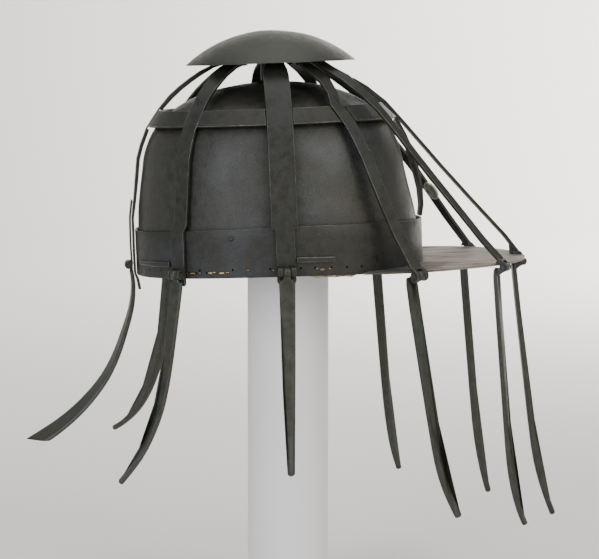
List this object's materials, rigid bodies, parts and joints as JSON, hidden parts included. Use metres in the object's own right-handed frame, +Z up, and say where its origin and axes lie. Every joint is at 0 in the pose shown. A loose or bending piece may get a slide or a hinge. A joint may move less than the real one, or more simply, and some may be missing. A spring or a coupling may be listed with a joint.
{
  "type": "spider helmet on a stand",
  "caption": "Steel cap helmet in a cage of ribs, with a flat peak, a domed top plate and long curved legs hinged all round, held up on a plain round post.",
  "frame": {"origin": "on the underside of the stand's foot, below the centre of the helmet's rim and 6 mm behind the post's axis", "axes": "+Z up along the post, +X towards the helmet's peak, +Y towards the wearer's left"},
  "size_m": [0.4148, 0.3035, 0.451],
  "materials": {
    "blackened_steel": "worn black, satin, lighter on the edges",
    "worn_steel": "black mostly rubbed off, grey-brown with rust",
    "lead": "dull grey",
    "buff_leather": "dry and frayed",
    "white_post": "painted white, matt"
  },
  "bodies": {
    "helmet_on_stand": {"skull": "blackened_steel", "skull_band": "blackened_steel", "ring_band": "blackened_steel", "crown_boss": "blackened_steel", "top_plate": "blackened_steel", "rib_rear": "blackened_steel", "rib_rear_right": "blackened_steel", "rib_rear_left": "blackened_steel", "rib_side_right": "blackened_steel", "rib_side_left": "blackened_steel", "rib_corner_right": "blackened_steel", "rib_corner_left": "blackened_steel", "rib_front": "blackened_steel", "stay_front_right": "blackened_steel", "stay_front_left": "blackened_steel", "stay_front_centre": "blackened_steel", "hinge_strap_rear": "blackened_steel", "band_bar_rear": "blackened_steel", "band_bar_side": "blackened_steel", "band_rivet": "blackened_steel", "pin_rear": "blackened_steel", "pin_rear_right": "blackened_steel", "pin_rear_left": "blackened_steel", "pin_side_right": "blackened_steel", "pin_side_left": "blackened_steel", "pin_corner_right": "blackened_steel", "pin_corner_left": "blackened_steel", "pin_front_right": "blackened_steel", "pin_front_left": "blackened_steel", "pin_front_centre": "blackened_steel", "brim": "worn_steel", "lead_seal": "lead", "lining_strip": "buff_leather", "stand_post": "white_post", "stand_foot": "white_post"},
    "leg_rear": {"leg_rear": "blackened_steel"},
    "leg_rear_right": {"leg_rear_right": "blackened_steel"},
    "leg_rear_left": {"leg_rear_left": "blackened_steel"},
    "leg_side_right": {"leg_side_right": "blackened_steel"},
    "leg_side_left": {"leg_side_left": "blackened_steel"},
    "leg_corner_right": {"leg_corner_right": "blackened_steel"},
    "leg_corner_left": {"leg_corner_left": "blackened_steel"},
    "leg_front_right": {"leg_front_right": "blackened_steel"},
    "leg_front_left": {"leg_front_left": "blackened_steel"},
    "leg_front_centre": {"leg_front_centre": "blackened_steel"}
  },
  "joints": [
    {"name": "leg_rear_hinge", "type": "hinge", "parent": "helmet_on_stand", "child": "leg_rear", "pos_m": [-0.11628, 0, 0.27334], "axis": [0, 1, 0], "range_deg": [0, 166]},
    {"name": "leg_rear_right_hinge", "type": "hinge", "parent": "helmet_on_stand", "child": "leg_rear_right", "pos_m": [-0.08483, -0.0702, 0.27262], "axis": [-0.7766, 0.6293, -0.0292], "range_deg": [0, 164]},
    {"name": "leg_rear_left_hinge", "type": "hinge", "parent": "helmet_on_stand", "child": "leg_rear_left", "pos_m": [-0.08483, 0.0702, 0.27262], "axis": [0.7766, 0.6293, 0.0292], "range_deg": [0, 166]},
    {"name": "leg_side_right_hinge", "type": "hinge", "parent": "helmet_on_stand", "child": "leg_side_right", "pos_m": [-0.00534, -0.0994, 0.27691], "axis": [-0.9991, 0.0175, -0.0375], "range_deg": [0, 173]},
    {"name": "leg_side_left_hinge", "type": "hinge", "parent": "helmet_on_stand", "child": "leg_side_left", "pos_m": [-0.00534, 0.0994, 0.27691], "axis": [0.9991, 0.0175, 0.0375], "range_deg": [0, 173]},
    {"name": "leg_corner_right_hinge", "type": "hinge", "parent": "helmet_on_stand", "child": "leg_corner_right", "pos_m": [0.09211, -0.0936, 0.27226], "axis": [-0.7981, -0.6018, -0.03], "range_deg": [0, 185]},
    {"name": "leg_corner_left_hinge", "type": "hinge", "parent": "helmet_on_stand", "child": "leg_corner_left", "pos_m": [0.09211, 0.0954, 0.27226], "axis": [0.7066, -0.7071, 0.0265], "range_deg": [0, 194]},
    {"name": "leg_front_right_hinge", "type": "hinge", "parent": "helmet_on_stand", "child": "leg_front_right", "pos_m": [0.16043, -0.0704, 0.27562], "axis": [-0.5295, -0.848, -0.0199], "range_deg": [0, 196]},
    {"name": "leg_front_left_hinge", "type": "hinge", "parent": "helmet_on_stand", "child": "leg_front_left", "pos_m": [0.16243, 0.0702, 0.2755], "axis": [0.4691, -0.8829, 0.0176], "range_deg": [0, 196]},
    {"name": "leg_front_centre_hinge", "type": "hinge", "parent": "helmet_on_stand", "child": "leg_front_centre", "pos_m": [0.18905, 0, 0.2729], "axis": [0, -1, 0], "range_deg": [0, 200]}
  ]
}
